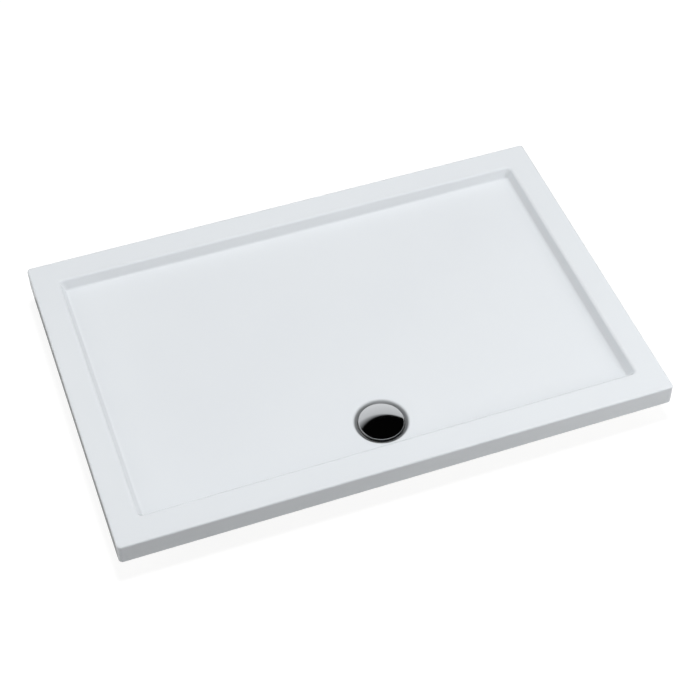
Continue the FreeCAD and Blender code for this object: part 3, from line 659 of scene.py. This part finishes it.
def domeCover():
    size = coverSize
    low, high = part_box("dome_cover")
    edge = (high.x - low.x) / 2
    sphere = (edge ** 2 + size["rise"] ** 2) / (2 * size["rise"])
    centre = Vector((wasteAxis.x, wasteAxis.y, high.z - sphere))
    bm = bmesh.new()
    shoulders = []
    for radius, reach in ((sphere, edge), (sphere - size["sheet"], edge - size["sheet"])):
        crown = bm.verts.new(centre + Vector((0, 0, radius)))
        arc = bmesh.ops.spin(bm, geom=[crown], cent=centre, axis=(0, 1, 0), angle=math.asin(reach / radius),
                             steps=size["arcSteps"])
        shoulders.append(arc["geom_last"][0])
    lips = [bm.verts.new((vert.co.x, wasteAxis.y, low.z)) for vert in shoulders]
    bm.edges.new((shoulders[0], lips[0]))
    bm.edges.new(lips)
    bm.edges.new((lips[1], shoulders[1]))
    turn = math.pi / 2 - math.asin(edge / sphere)
    rounded(bm, shoulders[:1], size["shoulder"], turn, size["shoulderSteps"])
    rounded(bm, shoulders[1:], size["shoulder"] / 3, turn, size["edgeSteps"])
    rounded(bm, lips, size["lip"], math.pi / 2, size["edgeSteps"])
    lathe(bm, wasteAxis, size["steps"])
    addPiece("domeCover", bm, "dome_cover")


domeCover()


# foot studs: a rolled M12 thread all the way up, and a hexagon for the spanner
studSize = {
    "radius": 6 * mm,
    "pitch": 1.75 * mm,
    "depth": 1.0 * mm,
    "crest": 0.3,               # share of the pitch
    "root": 0.2,
    "hexAbovePad": 0.3 * mm,
    "hexHeight": 6 * mm,
    "corner": 0.9 * mm,
    "steps": 20,                # for each turn of the thread
}


def threadedStud(place):
    # a stud in a bmesh, at the given foot
    size = studSize
    low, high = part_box("foot_stud_" + place)
    axis = (low + high) / 2
    axis.z = 0
    bm = bmesh.new()
    flank = (1 - size["crest"] - size["root"]) / 2
    core = size["radius"] - size["depth"]
    outline = [
        (core, 0), (core, size["root"]), (size["radius"], size["root"] + flank),
        (size["radius"], 1 - flank), (core, 1),
    ]
    start = low.z - size["pitch"]
    verts = [
        bm.verts.new(axis + Vector((radius, 0, start + share * size["pitch"])))
        for radius, share in outline
    ]
    for pair in zip(verts, verts[1:]):
        bm.edges.new(pair)
    turns = math.ceil((high.z - low.z) / size["pitch"]) + 2
    steps = size["steps"] * turns
    bmesh.ops.spin(bm, geom=bm.verts[:] + bm.edges[:], cent=axis, axis=(0, 0, 1), angle=2 * math.pi * turns,
                   dvec=(0, 0, size["pitch"] / size["steps"]), steps=steps)
    bmesh.ops.remove_doubles(bm, verts=bm.verts, dist=weld)
    for height, way in ((low.z, 1), (high.z, -1)):   # cut both ends off square and close them
        bmesh.ops.bisect_plane(bm, geom=bm.verts[:] + bm.edges[:] + bm.faces[:], dist=weld / 10,
                               plane_co=(0, 0, height), plane_no=(0, 0, way), clear_inner=True)
        bmesh.ops.contextual_create(bm, geom=[
            edge for edge in bm.edges
            if len(edge.link_faces) == 1 and all(abs(vert.co.z - height) < weld for vert in edge.verts)
        ])
    bmesh.ops.recalc_face_normals(bm, faces=bm.faces)
    hexRadius = (high.x - low.x) / 2
    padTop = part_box("foot_pad_" + place)[1].z
    middle = axis + Vector((0, 0, padTop + size["hexAbovePad"] + size["hexHeight"] / 2))
    placing = Matrix.Translation(middle) @ Matrix.Rotation(math.pi / 2, 4, "Z")
    corners = bmesh.ops.create_cone(bm, cap_ends=True, segments=6, radius1=hexRadius, radius2=hexRadius,
                                    depth=size["hexHeight"], matrix=placing)["verts"]
    bmesh.ops.bevel(bm, geom=corners, offset=size["corner"], segments=2, affect="VERTICES", profile=0.5,
                    material=-1)
    return bm


firstStud = threadedStud(footPlaces[0])
for place in footPlaces:
    stud = firstStud.copy()
    shift = centreOf("foot_stud_" + place) - centreOf("foot_stud_" + footPlaces[0])
    bmesh.ops.translate(stud, verts=stud.verts, vec=shift)
    addPiece("footStud." + place, stud, "foot_stud_" + place)
firstStud.free()


# the other nodes keep their CAD shape, with its corners merged and, unless the width is 0, its edges softened
edgeSoftness = {
    "glass_fibre_backing": 0.0,
    "floor_board": 0.3 * mm,
    "underside_laminate": 0.4 * mm,
    "socket_screws": 0.15 * mm,
    "lock_nuts": 0.5 * mm,
    "foot_socket": 0.5 * mm,
    "foot_pad": 0.8 * mm,
    "waste_flange": 0.25 * mm,
    "flange_screws": 0.15 * mm,
    "top_gasket": 0.3 * mm,
    "bottom_gasket": 0.6 * mm,
    "trap_body": 0.5 * mm,
    "outlet_nut": 0.6 * mm,
    "outlet_seal": 0.4 * mm,
    "trap_insert": 0.3 * mm,
    "insert_o_ring": 0.0,
    "hair_strainer": 0.3 * mm,
    "cover_carrier": 0.4 * mm,
    "rim_batten": 1.0 * mm,
}
mergeReach = 0.002 * mm
flatEnough = math.radians(0.2)


def softened(nodeName, softness):
    bm = bmesh.new()
    bm.from_mesh(frame["nodes"][nodeName].data)
    bmesh.ops.remove_doubles(bm, verts=bm.verts, dist=mergeReach)
    bmesh.ops.dissolve_limit(bm, angle_limit=flatEnough, verts=bm.verts, edges=bm.edges)
    words = nodeName.split("_")
    piece = addPiece(words[0] + "".join(word.capitalize() for word in words[1:]), bm, nodeName)
    if softness:
        edges = piece.modifiers.new("edges", "BEVEL")
        edges.width = softness
        edges.segments = 2
        edges.limit_method = "ANGLE"
        edges.angle_limit = sharpFrom
        edges.harden_normals = True


for nodeName in sorted(frame["nodes"]):
    for family, softness in edgeSoftness.items():
        if nodeName.startswith(family):
            softened(nodeName, softness)


# camera as in the photograph, found from the corners of the tray
cameraSetup = {
    "place": (-0.7904, -2.3305, 2.7389),   # from the middle of the tray, above its rim
    "azimuth": -19.217,
    "elevation": 48.872,
    "roll": -0.591,
    "lens": 87.70,          # millimetres, as is the sensor's width
    "sensor": 36,
    "farthest": 100,
}


def addCamera():
    camera = linked("camera", bpy.data.cameras.new("camera"))
    around = math.radians(cameraSetup["azimuth"])
    up = math.radians(cameraSetup["elevation"])
    back = Vector((math.sin(around) * math.cos(up), -math.cos(around) * math.cos(up), math.sin(up)))
    aim = (-back).to_track_quat("-Z", "Y").to_matrix()
    roll = Matrix.Rotation(math.radians(cameraSetup["roll"]), 3, "Z")
    place = Vector(cameraSetup["place"]) + Vector((0, 0, rimTop))
    camera.matrix_world = Matrix.Translation(place) @ (aim @ roll).to_4x4()
    camera.data.lens = cameraSetup["lens"]
    camera.data.sensor_width = cameraSetup["sensor"]
    camera.data.clip_end = cameraSetup["farthest"]
    scene.camera = camera


# a plain pale floor: the camera sees it white, apart from the tray's shadow, and from below sees through it
floorSetup = {
    "size": 30.0,
    "below": 0.3 * mm,      # under the soles of the feet
    "colour": (0.66, 0.66, 0.66),
    "whiteness": 0.90,
    "shadowShare": 0.20,
}


def addFloor():
    bm = bmesh.new()
    bmesh.ops.create_grid(bm, x_segments=1, y_segments=1, size=floorSetup["size"] / 2,
                          matrix=Matrix.Translation((0, 0, -floorSetup["below"])))
    mesh = bpy.data.meshes.new("floor")
    bm.to_mesh(mesh)
    bm.free()
    floor = linked("floor", mesh)
    material = bpy.data.materials.new("paleFloor")
    tree, output = emptyTree(material, "ShaderNodeOutputMaterial")
    path = tree.nodes.new("ShaderNodeLightPath")
    side = tree.nodes.new("ShaderNodeNewGeometry")
    through = tree.nodes.new("ShaderNodeBsdfTransparent")
    plain = tree.nodes.new("ShaderNodeBsdfDiffuse")
    plain.inputs["Color"].default_value = (*floorSetup["colour"], 1)
    shaded = tree.nodes.new("ShaderNodeBsdfDiffuse")
    shaded.inputs["Color"].default_value = (*[floorSetup["shadowShare"]] * 3, 1)
    glow = tree.nodes.new("ShaderNodeEmission")
    glow.inputs["Strength"].default_value = floorSetup["whiteness"]
    seen = tree.nodes.new("ShaderNodeAddShader")
    tree.links.new(shaded.outputs["BSDF"], seen.inputs[0])
    tree.links.new(glow.outputs["Emission"], seen.inputs[1])
    above = mixedBy(tree, path.outputs["Is Camera Ray"], plain.outputs["BSDF"], seen.outputs["Shader"])
    either = mixedBy(tree, side.outputs["Backfacing"], above, through.outputs["BSDF"])
    tree.links.new(either, output.inputs["Surface"])
    dress(floor, material)


# soft studio light: a high overhead lamp, three weaker ones at the sides, and a pale room
lampSetup = {
    "overhead": {"place": (0.10, -0.12, 5.0), "size": 1.1, "power": 187.0},
    "right": {"place": (2.4, 0.4, 2.6), "size": 2.0, "power": 10.5},
    "frontRight": {"place": (1.8, -1.6, 1.0), "size": 1.0, "power": 14.8},
    "left": {"place": (-2.4, -0.4, 1.2), "size": 1.2, "power": 8.6},
}
roomSetup = {
    "ambient": 0.07,
    # what metal reflects: a wall that pales downwards, then darkens at its foot, and a dark leaning ceiling
    "wallStops": [(0.0, (0.83, 0.84, 0.85)), (0.45, (0.71, 0.72, 0.73)), (1.0, (0.53, 0.54, 0.55))],
    "wallFoot": (0.34, 0.42),          # sines of the elevations between which the wall darkens downwards
    "ceiling": (0.001, 0.001, 0.001),
    "ceilingWay": (0.20, 0.14, 0.97),
    "ceilingStart": 0.821,             # dot product with ceilingWay at the ceiling's edge
    "edgeWidths": (0.045, 0.008),      # half widths of the ceiling's edge, on the left and on the right
    "edgeSpan": (-0.1, 0.35),          # X of a direction where these widths hold
    "wallSpan": (0.5, 0.85),           # dot products with ceilingWay at the first and last of wallStops
    "behindSpan": (-0.1, 0.1),         # Y of a direction from the camera's side to the far side
    "dimmest": 0.04,                   # share of the wall's light at its foot and on the camera's side
}


def addLamps():
    for name, setup in lampSetup.items():
        lamp = linked(name, bpy.data.lights.new(name, "AREA"))
        place = Vector(setup["place"])
        aim = (Vector((0, 0, rimTop)) - place).to_track_quat("-Z", "Y").to_matrix()
        lamp.matrix_world = Matrix.Translation(place) @ aim.to_4x4()
        lamp.data.shape = "DISK"
        lamp.data.size = setup["size"]
        lamp.data.energy = setup["power"]
        lamp.visible_glossy = False


def backgroundOf(tree, colour):
    background = tree.nodes.new("ShaderNodeBackground")
    if isinstance(colour, tuple):
        background.inputs["Color"].default_value = (*colour, 1)
    else:
        tree.links.new(colour, background.inputs["Color"])
    return background.outputs["Background"]


def addRoom():
    world = bpy.data.worlds.new("studio")
    tree, output = emptyTree(world, "ShaderNodeOutputWorld")
    path = tree.nodes.new("ShaderNodeLightPath")
    direction = tree.nodes.new("ShaderNodeTexCoord").outputs["Generated"]
    parts = tree.nodes.new("ShaderNodeSeparateXYZ")
    tree.links.new(direction, parts.inputs["Vector"])
    lean = tree.nodes.new("ShaderNodeVectorMath")
    lean.operation = "DOT_PRODUCT"
    lean.inputs[1].default_value = roomSetup["ceilingWay"]
    tree.links.new(direction, lean.inputs[0])
    height = lean.outputs["Value"]
    left, right = roomSetup["edgeWidths"]
    width = between(tree, parts.outputs["X"], left, right, *roomSetup["edgeSpan"])
    above = combined(tree, "SUBTRACT", height, roomSetup["ceilingStart"])
    dark = between(tree, combined(tree, "DIVIDE", above, width), 0.0, 1.0, -1.0, 1.0)
    wall = colours(tree, between(tree, height, 0.0, 1.0, *roomSetup["wallSpan"]), roomSetup["wallStops"])
    dimmest = roomSetup["dimmest"]
    farSide = between(tree, parts.outputs["Y"], dimmest, 1.0, *roomSetup["behindSpan"])
    aboveFoot = between(tree, parts.outputs["Z"], dimmest, 1.0, *roomSetup["wallFoot"])
    dimmed = scaledBy(tree, wall, combined(tree, "MULTIPLY", farSide, aboveFoot))
    inMetal = mixedBy(tree, dark, backgroundOf(tree, dimmed), backgroundOf(tree, roomSetup["ceiling"]))
    ambient = backgroundOf(tree, (roomSetup["ambient"],) * 3)
    unseen = mixedBy(tree, path.outputs["Is Glossy Ray"], ambient, inMetal)
    seen = mixedBy(tree, path.outputs["Is Camera Ray"], unseen, backgroundOf(tree, (1, 1, 1)))
    tree.links.new(seen, output.inputs["Surface"])
    scene.world = world


addCamera()
addFloor()
addLamps()
addRoom()
scene.view_settings.view_transform = "Standard"
print("camera, floor and light placed")
